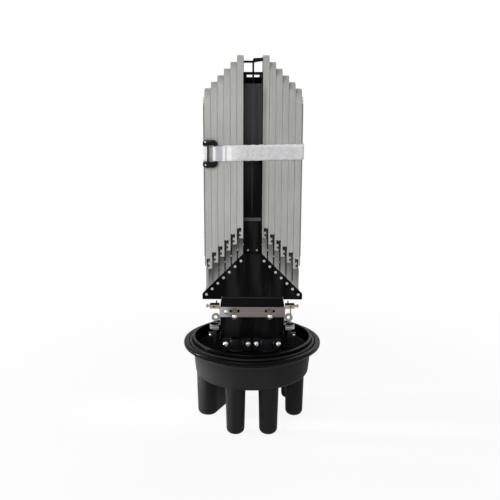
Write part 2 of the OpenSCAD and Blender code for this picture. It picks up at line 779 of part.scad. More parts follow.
// Worm-drive clamp: a thin band with its screw housing on the outer side
module hose_clamp(side) {
    r = trough_r + seat_gap;
    color("#d5d5d3") side_of(side) translate([trough_x, trough_y, clamp_z - clamp_h / 2]) {
        difference() {
            cylinder(r = r + clamp_t, h = clamp_h);
            translate([0, 0, -1]) cylinder(r = r, h = clamp_h + 2);
        }
        rotate([0, 0, clamp_turn]) translate([r + clamp_t / 2, -6, 0.5]) difference() {
            along_y(12) polygon(rounded(rect(0, 0, 6.5, clamp_h - 1), 2));
            translate([3.6, 0, clamp_h / 2 - 0.5]) rod_y(2.25, -1, 13);
        }
        rotate([0, 0, clamp_turn]) translate([r + clamp_t / 2 + 3.6, 0, clamp_h / 2]) {
            rod_y(2.2, -6, 7);
            translate([0, 10.5, 0]) rotate([90, 0, 0]) cylinder(r = 3.4, h = 3.5, $fn = 6);
        }
    }
}

// Steel eye on the foot's side that takes a cable's strength member
module eye_lug(side) {
    eye_z = shelf_z + 56;
    color("#cfcfcc") side_of(side) translate([foot_w / 2, trough_y - 2.5, eye_z]) difference() {
        union() {
            translate([0, -2, -8]) cube([2, 9, 16]);
            translate([0, 0, -4]) cube([8, 5, 8]);
            translate([10.5, 0, 0]) rod_y(7.6, 0, 5);
        }
        translate([10.5, 0, 0]) rod_y(3.8, -1, 6);
    }
}

saddle_half_w = 27;
saddle_x = 28.8;
saddle_h = 25;
saddle_z = shelf_z + 11;
saddle_ear_t = 4;
saddle_arch_r = 14;
saddle_rib_r = 16;
saddle_rib_h = 2.6;
saddle_screw_dx = 20.5;
saddle_screw_r = 2;
saddle_screw_xs = [for (s = [-1, 1], d = [-1, 1]) s * saddle_x + d * saddle_screw_dx];

// Arched cable saddle: flat ears, a half round arch and a rib at each end of it
module saddle(side) {
    face_y = -foot_d / 2;
    color("#0e0e10") translate([side * saddle_x, 0, saddle_z]) difference() {
        union() {
            translate([0, face_y - saddle_ear_t, 0]) along_y(saddle_ear_t)
                polygon(rounded(rect(-saddle_half_w, -saddle_h / 2, saddle_half_w, saddle_h / 2), 4));
            translate([0, face_y, -saddle_h / 2]) cylinder(r = saddle_arch_r, h = saddle_h);
            for (z = [-saddle_h / 2, saddle_h / 2 - saddle_rib_h]) translate([0, face_y, z])
                cylinder(r = saddle_rib_r, h = saddle_rib_h);
        }
        translate([0, face_y, -saddle_h]) cylinder(r = saddle_arch_r - 3, h = 2 * saddle_h);
        translate([-saddle_half_w - 1, face_y, -saddle_h]) cube([2 * saddle_half_w + 2, 30, 2 * saddle_h]);
        for (d = [-1, 1]) translate([d * saddle_screw_dx, 0, 0])
            rod_y(saddle_screw_r + running_gap, face_y - saddle_ear_t - 1, face_y + 1);
    }
}

module saddle_screws() {
    color("#e4e4e2") for (x = saddle_screw_xs)
        translate([x, -foot_d / 2 - saddle_ear_t, saddle_z]) rotate([90, 0, 0])
            screw(6, 4.2, saddle_screw_r, saddle_ear_t + foot_wall + 3);
}

// ---- Trays ----

// Outline of a tray, or of its hollow; its lower edge is raised between the legs
function tray_edge(inset) =
    let (
        d = tray_half_d - inset,
        z = notch_rise + inset,
        step_d = tail_start - seat_gap + inset,
        r = tray_corner_r - inset
    )
    rounded(
        [[-d, z], [-step_d, z], [-step_d, z + leg_room], [step_d, z + leg_room], [step_d, z], [d, z],
            [d, tray_top - inset], [-d, tray_top - inset]],
        [2, 1, 1.5, 1.5, 1, 2, r, r]);

comb_z = tray_len * 0.42;
comb_len = 42;
comb_count = 7;
comb_step = 7.5;
guide_r = 34;
tab_depth = 9;
tab_w = 14;

// One splice tray, drawn about its hinge barrel
module tray_solid() {
    inner_h = tray_t - tray_wall;
    difference() {
        union() {
            translate([tray_in, 0, 0]) along_x(tray_wall) polygon(tray_edge(0));
            translate([tray_in, 0, 0]) along_x(tray_t) difference() {
                polygon(tray_edge(0));
                polygon(tray_edge(tray_wall));
            }
            for (s = [-1, 1]) tray_tail(s);
            // Splice comb across the middle
            for (k = [0:comb_count - 1])
                translate([tray_in + tray_wall - 0.2, (k - (comb_count - 1) / 2) * comb_step - 0.8, comb_z])
                    cube([inner_h - 2.4, 1.6, comb_len]);
            // Fibre guides: an arc beyond each end of the comb
            for (end = [-1, 1]) translate([tray_in + tray_wall - 0.2, 0, comb_z + comb_len / 2 + end * 62])
                fibre_guide(end, inner_h - 2.4);
            // Tabs that keep the fibres down
            for (s = [-1, 1], z = [50, 150, 250]) translate([0, 0, notch_rise + z * tray_len / 304])
                retainer_tab(s);
        }
        // Ways in for the fibre tubes
        for (s = [-1, 1]) translate([tray_in + tray_wall, s * 24 - 7, notch_rise + leg_room - 1])
            cube([tray_t, 14, tray_wall + 2]);
    }
}

module fibre_guide(end, h) {
    wall = 1.4;
    rotate([90, 0, 90]) rotate([0, 0, end > 0 ? 35 : 215]) rotate_extrude(angle = 110)
        translate([guide_r - wall, 0]) square([wall, h]);
}

module retainer_tab(s) {
    y = s > 0 ? tray_half_d - tray_wall - tab_depth : -tray_half_d + tray_wall - 0.2;
    translate([tray_out - 1.4, y, 0]) cube([1.4, tab_depth + 0.2, tab_w]);
}

// The lug below a tray's front or back wall, with two teeth that grip the barrel
module tray_tail(s) {
    y0 = s > 0 ? tail_start : -tray_half_d;
    depth = tray_half_d - tail_start;
    difference() {
        union() {
            translate([tray_in, y0, -tail_drop]) cube([tail_t, depth, tail_drop + notch_rise + 2]);
            translate([tray_in + tail_t - 0.5, y0, -tail_drop])
                cube([-tray_in - tail_t + 1.4, depth, 2 * tail_drop]);
        }
        rod_y(barrel_r + running_gap, -tray_half_d - 1, tray_half_d + 1);
    }
}

module tray(side, i) {
    color("#a8a9a5") side_of(side) translate([hinge_x(i), 0, hinge_z(i)]) tray_solid();
}

lid_inset = 1.2;
lid_drop = 14;
lid_arm_t = 1.6;
lid_arm_w = 16;

// Clear lid on the outer face of a stack's outermost tray, with two arms down to the hinge
module lid(side) {
    z0 = notch_rise + 4;
    z1 = tray_top - lid_drop;
    d = tray_half_d - lid_inset;
    color("#70747480") side_of(side) translate([stack_out_x, 0, outer_hinge_z]) {
        along_x(lid_t) difference() {
            polygon(rounded(rect(-d, z0, d, z1), [4, 4, tray_corner_r - 4, tray_corner_r - 4]));
            // Finger notch at the top
            translate([0, z1 + 4]) circle(r = 11);
        }
        for (y = [-d, d - lid_arm_w])
            along_x(lid_arm_t) polygon(rounded(rect(y, -1, y + lid_arm_w, z0 + 8), 1));
    }
}

// ---- Strap ----

// The strap's closed band, with the doubled fold that holds the buckle's bar
module strap() {
    x = strap_in_x;
    y = strap_in_y;
    t = strap_t;
    color("#dcdedf") translate([0, 0, strap_z - strap_w / 2]) linear_extrude(strap_w) difference() {
        union() {
            polygon(rounded(rect(-x - t, -y - t, x + t, y + t), 3.4));
            polygon(rounded(rect(-fold_x1, -y - t - fold_t, -fold_x0, -y - t / 2), 1));
        }
        polygon(rounded(rect(-x, -y, x, y), 1.2));
        translate([-bar_x, -y - t - buckle_bar_r]) circle(r = buckle_bar_r + seat_gap);
    }
}

fold_x0 = 47;
fold_x1 = 71;
fold_t = 2.2;
bar_x = 66;

// Glossy buckle: an arm above and one below the strap, joined by two upright bars
module strap_buckle() {
    y0 = -strap_in_y - 1;
    front = -strap_in_y - strap_t - 4.6;
    x0 = -strap_in_x - 0.4;
    x1 = -bar_x + 3.4;
    arm_h = 10.6;
    color("#0c0c0e") {
        for (z = [strap_z + strap_w / 2 + seat_gap, strap_z - strap_w / 2 - seat_gap - arm_h])
            translate([0, front, z]) along_y(y0 - front) polygon(rounded(rect(x0, 0, x1, arm_h), 3));
        translate([-bar_x, -strap_in_y - strap_t - buckle_bar_r, strap_z - strap_w / 2 - 2])
            cylinder(r = buckle_bar_r, h = strap_w + 4);
        translate([x0 + 4.4, front, strap_z - strap_w / 2 - 2]) cube([2, 2.4, strap_w + 4]);
    }
}

base_body();
seal_ring();
frame_foot();
foot_screws();
deck_plate();
delta_plate(-frame_half_d - delta_t, delta_half_w);  // delta_plate_front
delta_plate(frame_half_d, delta_back_half_w);  // delta_plate_back
tie_rods(-1);  // tie_rods_left
tie_rods(1);  // tie_rods_right
hinge_block(-1);  // hinge_block_left
hinge_block(1);  // hinge_block_right
hinge_barrels(-1);  // hinge_barrels_left
hinge_barrels(1);  // hinge_barrels_right
column();
column_cover();
column_bar();
column_screws();
tray_stop();
cross_bracket();
bracket_bolts();
bracket_nuts();
bracket_screws();
terminal(-1);  // terminal_left
terminal(1);  // terminal_right
terminal_screws();
earth_rod();
trough(-1);  // trough_left
trough(1);  // trough_right
trough_screws();
hose_clamp(-1);  // hose_clamp_left
hose_clamp(1);  // hose_clamp_right
eye_lug(-1);  // eye_lug_left
eye_lug(1);  // eye_lug_right
saddle(-1);  // saddle_left
saddle(1);  // saddle_right
saddle_screws();
for (i = [1:trays_per_side]) {
    tray(-1, i);
    tray(1, i);
}
lid(-1);  // lid_left
lid(1);  // lid_right
strap();
strap_buckle();
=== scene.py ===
# Dome splice closure: finishes, strap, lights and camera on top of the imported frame
import bpy, bmesh, math
from mathutils import Matrix, Vector


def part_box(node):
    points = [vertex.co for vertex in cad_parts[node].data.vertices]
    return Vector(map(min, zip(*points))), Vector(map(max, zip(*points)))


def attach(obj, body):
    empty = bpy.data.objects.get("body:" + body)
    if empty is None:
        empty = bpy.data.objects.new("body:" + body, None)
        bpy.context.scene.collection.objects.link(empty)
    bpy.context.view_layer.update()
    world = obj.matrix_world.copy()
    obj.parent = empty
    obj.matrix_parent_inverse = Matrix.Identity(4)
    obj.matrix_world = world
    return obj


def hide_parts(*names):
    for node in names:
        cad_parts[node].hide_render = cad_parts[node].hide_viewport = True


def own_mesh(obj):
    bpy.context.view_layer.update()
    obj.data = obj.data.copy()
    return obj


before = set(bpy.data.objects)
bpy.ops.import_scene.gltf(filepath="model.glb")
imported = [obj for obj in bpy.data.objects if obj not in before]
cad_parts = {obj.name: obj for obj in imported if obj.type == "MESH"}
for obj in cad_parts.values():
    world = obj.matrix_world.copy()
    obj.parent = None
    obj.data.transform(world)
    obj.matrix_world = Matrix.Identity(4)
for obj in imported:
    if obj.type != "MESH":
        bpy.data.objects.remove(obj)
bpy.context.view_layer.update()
print("frame loaded:", len(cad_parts), "nodes")

# in front of the closure, a little lower than its top, and looking down
cameraSetup = {
    "place": (-0.0046, -1.421, 0.657),
    "pitchDown": 13.2,         # degrees
    "roll": 0.2,               # degrees
    "sensor": 36.0,            # mm
    "lens": 54.72,             # mm
    "shiftY": 0.0166,
    "nearest": 0.05,
    "farthest": 60.0,
}


def makeCamera(setup):
    cameraData = bpy.data.cameras.new("closureCamera")
    cameraData.sensor_width = setup["sensor"]
    cameraData.lens = setup["lens"]
    cameraData.shift_y = setup["shiftY"]
    cameraData.clip_start = setup["nearest"]
    cameraData.clip_end = setup["farthest"]
    camera = bpy.data.objects.new("closureCamera", cameraData)
    bpy.context.scene.collection.objects.link(camera)
    tilt = Matrix.Rotation(math.radians(90.0 - setup["pitchDown"]), 4, "X")
    lean = Matrix.Rotation(math.radians(setup["roll"]), 4, "Z")
    camera.matrix_world = Matrix.Translation(setup["place"]) @ tilt @ lean
    bpy.context.scene.camera = camera


makeCamera(cameraSetup)
bpy.context.scene.view_settings.view_transform = "Standard"
print("camera placed")


class Wire:
    # wraps one output socket: an expression on wires adds its Math nodes
    def __init__(self, tree, socket=None):
        self.tree = tree
        self.socket = socket

    def node(self, kind, settings=None, sockets=None, out=0):
        made = self.tree.nodes.new(kind)
        for name, value in (settings or {}).items():
            setattr(made, name, value)
        for name, value in (sockets or {}).items():
            if isinstance(value, Wire):
                self.tree.links.new(value.socket, made.inputs[name])
            else:
                made.inputs[name].default_value = value
        return Wire(self.tree, made.outputs[out] if len(made.outputs) else None)

    def maths(self, operation, first, second=0.0, clamp=False):
        settings = {"operation": operation, "use_clamp": clamp}
        return self.node("ShaderNodeMath", settings, {0: first, 1: second})

    def __add__(self, other):
        return self.maths("ADD", self, other)

    def __radd__(self, other):
        return self.maths("ADD", other, self)

    def __sub__(self, other):
        return self.maths("SUBTRACT", self, other)

    def __rsub__(self, other):
        return self.maths("SUBTRACT", other, self)

    def __mul__(self, other):
        return self.maths("MULTIPLY", self, other)

    def __rmul__(self, other):
        return self.maths("MULTIPLY", other, self)

    def along(self, axis):
        # one coordinate of a place, by its letter
        return self.node("ShaderNodeSeparateXYZ", {}, {"Vector": self}, out=axis)

    def ramp(self, low, high, first=0.0, last=1.0):
        # smooth change from first to last while this value goes from low to high
        values = {"Value": self, "From Min": low, "From Max": high, "To Min": first, "To Max": last}
        return self.node("ShaderNodeMapRange", {"interpolation_type": "SMOOTHSTEP"}, values)

    def band(self, low, full, fade, high):
        # 0 up to low, 1 from full to fade and 0 again from high
        return self.ramp(low, full) * self.ramp(fade, high, 1.0, 0.0)

    def mix(self, first, second):
        # colour between two others, with this value as the factor; inputs 6 and 7 and output 2
        # are the node's colour sockets
        return self.node("ShaderNodeMix", {"data_type": "RGBA"}, {0: self, 6: first, 7: second}, out=2)


def opaque(colour):
    return (*colour, 1.0)


def shaded(colour, share):
    return opaque(tuple(min(1.0, max(0.0, c * share)) for c in colour))


def newFinish(name):
    finish = bpy.data.materials.new(name)
    finish.use_nodes = True
    finish.node_tree.nodes.clear()
    return finish, Wire(finish.node_tree)


def objectSpace(start, scale=(1.0, 1.0, 1.0)):
    place = start.node("ShaderNodeTexCoord", out="Object")
    return start.node("ShaderNodeMapping", {}, {"Vector": place, "Scale": scale})


def noise(start, place, scale, detail=3.0, rough=0.5):
    values = {"Vector": place, "Scale": scale, "Detail": detail, "Roughness": rough}
    return start.node("ShaderNodeTexNoise", {}, values)


def bump(start, height, strength, distance):
    values = {"Height": height, "Strength": strength, "Distance": distance}
    return start.node("ShaderNodeBump", {}, values)


def surface(start, sockets):
    shader = start.node("ShaderNodeBsdfPrincipled", {}, sockets)
    start.node("ShaderNodeOutputMaterial", {}, {"Surface": shader})


# what a moulded plastic has unless its own look says otherwise
plasticLook = {
    "cloudScale": 18.0,
    "dustScale": 60.0,
    "roughVary": 0.12,
    "specular": 0.4,
    "bumpDepth": 0.0004,
}


def mouldedPlastic(name, changes):
    # solid colour with a soft cloud, a fine moulded grain and dusty patches; "polish" adds a
    # streaky gloss up the piece; the other two options paint a shadow under the trays and a highlight on
    # an edge, as their functions say
    look = {**plasticLook, **changes}
    finish, start = newFinish(name)
    place = objectSpace(start)
    cloud = noise(start, place, look["cloudScale"], detail=4.0)
    grain = noise(start, place, look["grainScale"], detail=2.0, rough=0.6)
    dust = noise(start, place, look["dustScale"], detail=6.0, rough=0.7).ramp(0.55, 0.8)
    tone = (cloud * 0.7 + grain * 0.3).ramp(0.3, 0.7)
    darker = shaded(look["colour"], 1.0 - look["vary"])
    paler = shaded(look["colour"], 1.0 + look["vary"])
    colour = (dust * look["dust"]).mix(tone.mix(darker, paler), opaque(look["dustColour"]))
    if "paintedShadow" in look:
        colour = addPaintedShadow(colour, place, cloud, look["paintedShadow"])
    if "paintedEdgeHighlight" in look:
        colour = addPaintedEdgeHighlight(colour, place, cloud, look["paintedEdgeHighlight"])
    relief = grain * 0.6 + cloud * 0.4
    sockets = {"Base Color": colour, "Metallic": 0.0, "Specular IOR Level": look["specular"],
               "Roughness": look["rough"] + (cloud - 0.5) * look["roughVary"] + dust * 0.08,
               "Normal": bump(start, relief, look["grain"], look["bumpDepth"])}
    if "polish" in look:
        streak = noise(start, objectSpace(start, (1.0, 1.0, 0.12)), 36.0, rough=0.55).ramp(0.48, 0.66)
        sockets.update({"Coat Weight": streak * look["polish"], "Coat Roughness": 0.3})
    surface(start, sockets)
    return finish


def addPaintedShadow(colour, place, cloud, paintedShadow):
    # painted shadow cast by the stepped row of trays, on the front only: thickest just under it,
    # weaker on the right half and nearly gone at the left end, where light from the left falls
    x, y, z = (place.along(axis) for axis in "XYZ")
    below = paintedShadow["stepsTop"] - z - place.maths("ABSOLUTE", x)
    amount = paintedShadow["thinnest"] + below.ramp(0.0, paintedShadow["reach"], 1.0, 0.0) * (1.0 - paintedShadow["thinnest"])
    amount = amount * y.ramp(paintedShadow["frontY"], paintedShadow["frontY"] + 0.003, 1.0, 0.0)
    amount = amount * x.ramp(-0.01, 0.01, 1.0, paintedShadow["rightShare"])
    amount = amount * x.ramp(paintedShadow["litEndX"], paintedShadow["litEndX"] + 0.002, paintedShadow["litEndShare"], 1.0)
    return (amount * (0.9 + cloud * 0.2)).mix(colour, opaque(paintedShadow["colour"]))


def addPaintedEdgeHighlight(colour, place, cloud, edge):
    # painted highlight: a broken paler line just under the top of a side face, where its edge catches
    # the light
    top = edge["top"]
    width = edge["width"]
    line = place.along("Z").band(top - width, top - 0.6 * width, top - 0.2 * width, top - 0.05 * width)
    return (line * cloud.ramp(0.2, 0.6, 0.6, 1.0)).mix(colour, opaque(edge["colour"]))


def brushedMetal(name, look):
    # metal with small tarnished spots and fine lines, drawn out along the axis that lineScale
    # shrinks; "fade" runs from another colour to its own between two places on one axis
    finish, start = newFinish(name)
    lines = noise(start, objectSpace(start, look["lineScale"]), 40.0, rough=0.6)
    spots = noise(start, objectSpace(start), 120.0, detail=5.0, rough=0.65).ramp(0.5, 0.78)
    colour = lines.ramp(0.35, 0.65).mix(shaded(look["colour"], 0.86), shaded(look["colour"], 1.08))
    if "fade" in look:
        fade = look["fade"]
        kept = objectSpace(start).along(fade["axis"]).ramp(fade["from"], fade["to"])
        colour = kept.mix(opaque(fade["colour"]), colour)
    colour = (spots * look["tarnish"]).mix(colour, opaque(look["tarnishColour"]))
    surface(start, {"Base Color": colour, "Metallic": 1.0,
                    "Roughness": look["rough"] + lines * 0.12 + spots * 0.12,
                    "Normal": bump(start, lines, look["lineDepth"], 0.0002)})
    return finish


baseLook = {
    "collar": (0.0185, 0.0185, 0.019),
    "rim": (0.0010, 0.0010, 0.0012),
    "port": (0.0160, 0.0160, 0.0165),
    "lipHighlight": (0.031, 0.031, 0.031),     # painted highlight: a pale line where the two textures meet
    "scuff": (0.040, 0.040, 0.039),
    "rimShare": 0.894,         # the flange's and the collar's places, as shares of the height
    "collarShare": 0.562,
    "rimShadeDrop": 0.0067,         # how far the satin black runs down below the flange, as painted shade under it
    "rimBlur": 0.0004,
    "lipHighlightWidth": 0.0042,
    "lipHighlightBlur": 0.0012,
    "rough": 0.56,
    "specular": 0.04,
    "rimCoat": 0.05,
}


def baseFinish(look):
    # one moulding with two textures: satin black from just below the flange up, and grained and
    # matt below that, down to the darker ports; the black just below the flange is painted shade,
    # and a pale line under it is a painted highlight
    finish, start = newFinish("baseMoulding")
    low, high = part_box("base_body")
    height = high[2] - low[2]
    # lowered below the flange, so that the black paints the shade under it
    rimZ = low[2] + height * look["rimShare"] - look["rimShadeDrop"]
    collarZ = low[2] + height * look["collarShare"]
    blur = look["rimBlur"]
    lipHighlightZ = rimZ - look["lipHighlightWidth"]
    place = objectSpace(start)
    z = place.along("Z")
    above = z.ramp(rimZ - blur, rimZ + blur)
    # painted highlight line, just under the painted shade below the flange
    lipHighlight = z.band(lipHighlightZ, lipHighlightZ + look["lipHighlightBlur"], rimZ - blur, rimZ + blur)
    below = z.ramp(collarZ - 0.012, collarZ + 0.004, 1.0, 0.0)
    cloud = noise(start, place, 14.0, detail=4.0)
    grain = noise(start, place, 1500.0, detail=2.0, rough=0.7)
    scuff = noise(start, objectSpace(start, (1.0, 1.0, 0.25)), 90.0, detail=6.0, rough=0.75)
    scuff = scuff.ramp(0.62, 0.85)
    body = cloud.ramp(0.3, 0.7).mix(shaded(look["collar"], 0.88), shaded(look["collar"], 1.12))
    body = below.mix(body, opaque(look["port"]))
    body = lipHighlight.mix(body, opaque(look["lipHighlight"]))
    body = above.mix(body, opaque(look["rim"]))
    body = (scuff * 0.25 * (1.0 - above * 0.9)).mix(body, opaque(look["scuff"]))
    rough = look["rough"] - above * 0.26 - below * 0.06 + (cloud - 0.5) * 0.10 + scuff * 0.06
    relief = (grain * (1.0 - above * 0.85)) * 0.7 + cloud * 0.3
    surface(start, {"Base Color": body, "Roughness": rough, "Specular IOR Level": look["specular"],
                    "Coat Weight": above * look["rimCoat"], "Coat Roughness": 0.12,
                    "Normal": bump(start, relief, 0.25, 0.0003)})
    return finish


trayLook = {
    "colour": (0.405, 0.408, 0.388),
    "smudge": (0.30, 0.302, 0.285),
    # painted shade beside the column
    "columnShade": (0.150, 0.150, 0.145),
    "columnShadeWidth": 0.009,
    "columnShadeFade": 0.02,        # it thins out from this far below the column cover's top
}


def trayFinish(name, look, share, columnShadeStrength=0.0):
    # warm grey plastic with faint flow lines up the tray; a share below 1 paints shade over all of it,
    # and the last argument paints shade on the right stack's front face beside the column, up to the
    # cover's top
    finish, start = newFinish(name)
    place = objectSpace(start)
    flow = noise(start, objectSpace(start, (1.0, 0.35, 0.035)), 420.0, detail=4.0, rough=0.6)
    cloud = noise(start, place, 22.0)
    grain = noise(start, place, 1700.0, detail=2.0, rough=0.6)
    smudge = noise(start, objectSpace(start, (1.0, 1.0, 0.3)), 46.0, detail=6.0, rough=0.7)
    smudge = smudge.ramp(0.62, 0.86)
    tone = (flow * 0.65 + cloud * 0.35).ramp(0.36, 0.66)
    colour = tone.mix(shaded(look["colour"], 0.90 * share), shaded(look["colour"], 1.07 * share))
    colour = (smudge * 0.22).mix(colour, opaque(look["smudge"]))
    if columnShadeStrength:
        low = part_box("tray_right_1")[0]
        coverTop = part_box("column_cover")[1][2]
        x, y, z = (place.along(axis) for axis in "XYZ")
        # painted shade along the inner edge of the right stack's front face
        columnShade = x.ramp(low[0] + look["columnShadeWidth"] * 0.35, low[0] + look["columnShadeWidth"], columnShadeStrength, 0.0)
        columnShade = columnShade * y.ramp(low[1] + 0.0003, low[1] + 0.0011, 1.0, 0.0)
        columnShade = columnShade * z.ramp(coverTop - look["columnShadeFade"], coverTop + 0.01, 1.0, 0.0)
        colour = columnShade.mix(colour, opaque(look["columnShade"]))
    surface(start, {"Base Color": colour, "Roughness": 0.48 + flow * 0.12 + smudge * 0.06,
                    "Specular IOR Level": 0.4,
                    "Normal": bump(start, flow * 0.6 + grain * 0.4, 0.22, 0.0003)})
    return finish


coverLook = {
    "upper": (0.044, 0.044, 0.047),
    "upperLitEdge": (0.064, 0.064, 0.068),    # above the strap, at the left edge: painted light
    "lower": (0.0012, 0.0012, 0.0015),
    "belowStrapPale": (0.026, 0.026, 0.027),         # paler grey just below the strap, strongest at the left
    "ridge": (0.030, 0.030, 0.031),        # fine drawn line down the paler part
    "changeZ": 0.526,          # the height where grey gives way to black
    "changeBlur": 0.004,
    "paleTo": 0.425,           # how far down it reaches
    "paleRight": 0.15,         # how much of it is left at the right
    "ridgeLeft": -0.0024,
    "ridgeRight": -0.0002,
    "ridgeBlur": 0.0007,
    "ridgeFade": 0.015,
}


def coverFinish(look):
    # dark strip with drawn lines along its length, greyer above the strap
    finish, start = newFinish("coverSheet")
    place = objectSpace(start)
    x = place.along("X")
    z = place.along("Z")
    lines = noise(start, objectSpace(start, (1.0, 1.0, 0.015)), 330.0, rough=0.55)
    cloud = noise(start, objectSpace(start, (1.0, 1.0, 0.2)), 24.0)
    tone = (lines * 0.7 + cloud * 0.3).ramp(0.35, 0.65)
    upper = z.ramp(look["changeZ"] - look["changeBlur"], look["changeZ"] + look["changeBlur"])
    grey = tone.mix(shaded(look["upper"], 0.8), shaded(look["upper"], 1.25))
    # painted light: the left edge above the strap is made paler
    grey = x.ramp(-0.017, -0.006, 1.0, 0.0).mix(grey, opaque(look["upperLitEdge"]))
    black = tone.mix(shaded(look["lower"], 0.6), shaded(look["lower"], 1.7))
    belowStrapPale = z.ramp(look["paleTo"], look["changeZ"]) * x.ramp(-0.014, 0.012, 1.0, look["paleRight"])
    black = (belowStrapPale * (0.6 + lines * 0.8)).mix(black, opaque(look["belowStrapPale"]))
    ridge = x.band(look["ridgeLeft"], look["ridgeLeft"] + look["ridgeBlur"],
                   look["ridgeRight"] - look["ridgeBlur"], look["ridgeRight"])
    ridge = ridge * z.ramp(look["paleTo"] - look["ridgeFade"], look["paleTo"] + look["ridgeFade"])
    black = ridge.mix(black, opaque(look["ridge"]))
    surface(start, {"Base Color": upper.mix(black, grey), "Roughness": 0.46 + lines * 0.14,
                    "Specular IOR Level": 0.045, "Normal": bump(start, lines, 0.3, 0.0003)})
    return finish


lidLook = {
    "face": (0.24, 0.245, 0.25),
    "edge": (0.13, 0.132, 0.13),
    "edgeWidth": 0.0016,
    "edgeAlpha": 0.92,
    "faceAlpha": 0.36,
}


def lidFinish(look):
    # smoky clear sheet with fine wipe marks; its cut edges are darker and close to opaque
    finish, start = newFinish("smokyClear")
    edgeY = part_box("lid_right")[1][1]
    wipes = noise(start, objectSpace(start, (1.0, 0.5, 0.12)), 160.0, detail=5.0, rough=0.7)
    haze = wipes.ramp(0.45, 0.75)
    fromMiddle = start.maths("ABSOLUTE", objectSpace(start).along("Y"))
    edge = fromMiddle.ramp(edgeY - look["edgeWidth"], edgeY - 0.6 * look["edgeWidth"])
    colour = haze.mix(shaded(look["face"], 0.85), shaded(look["face"], 1.25))
    colour = edge.mix(colour, opaque(look["edge"]))
    alpha = (look["faceAlpha"] + haze * 0.12) * (1.0 - edge) + edge * look["edgeAlpha"]
    surface(start, {"Base Color": colour, "Roughness": 0.12 + haze * 0.14, "Alpha": alpha,
                    "Specular IOR Level": 0.4, "Normal": bump(start, wipes, 0.05, 0.0002)})
    return finish


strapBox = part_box("strap")
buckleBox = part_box("strap_buckle")

strapSetup = {
    "thick": 0.00198,          # behind the band's outer face
    "cornerRadius": 0.0034,
    "gapFrom": -0.0790,        # the band is open between the buckle's two bars
    "gapTo": -0.0701,
    "climb": 0.024,            # the front runs up a little towards +X
    "climbFrom": 0.02,         # begins this far forward of the middle
    "climbOver": 0.04,         # and is full this much further on
    "ripple": 0.00035,         # height of two crossed waves over the whole band
    "rippleFront": (310.0, 140.0),     # their turns along the band and up it
    "rippleSide": (270.0, -190.0),
    "edgeDrop": 0.0005,        # how far the two long edges are drawn in
    "fray": 0.0004,            # height of a finer wave on those edges
    "frayTurns": (420.0, 380.0),
    "cuts": (44, 30, 8),       # across its length, its depth and its width
    "foldEnd": -0.0482,
    "foldThick": 0.0030,
    "foldRound": 0.0012,       # how far it comes round the inner bar
    "foldSink": 0.0006,        # how far it is sunk into the band behind it
    "foldInset": (0.0008, 0.0012),     # from the band's lower and upper edge
    "foldRadius": 0.0011,
    "foldCurve": 0.0016,       # how far its two ends curve back to the band
    "foldProud": 0.0006,       # how far its middle stands out
    "foldCuts": 14,
}

strapLook = {
    "white": (0.93, 0.93, 0.935),
    # painted light: the ground's colour at the left
    "leftLit": (0.80, 0.802, 0.815),
    "plain": (0.585, 0.587, 0.60),
    # painted shade in the fold's middle
    "fold": (0.42, 0.42, 0.455),
    # painted shadow along the fold's end
    "crease": (0.42, 0.42, 0.43),
    "patches": 0.30,           # how strongly each kind of mark, painted highlight and painted shade shows
    "frontHighlight": 0.85,
    "edgeHighlight": 0.45,
    "foldShade": 0.85,
    "creaseShade": 0.6,
    "sideY": -0.058,           # the front's marks fade in between these two
    "frontY": -0.061,
    "edgeBlur": (0.0045, 0.0015),      # below the upper edge, from none to full
    "barBlur": (0.0012, 0.0034),       # past the gap, from full to none
    "endBlur": (-0.0062, -0.0038, 0.0085, 0.0120),     # on both sides of the fold's end
    "foldFrom": (0.0022, 0.0055),      # past the gap, from none to full
    "foldTo": (-0.0085, -0.0050),      # before the fold's end, from full to none
    "creaseBlur": (-0.0001, 0.0004, 0.0010, 0.0018),   # at the fold's end
}


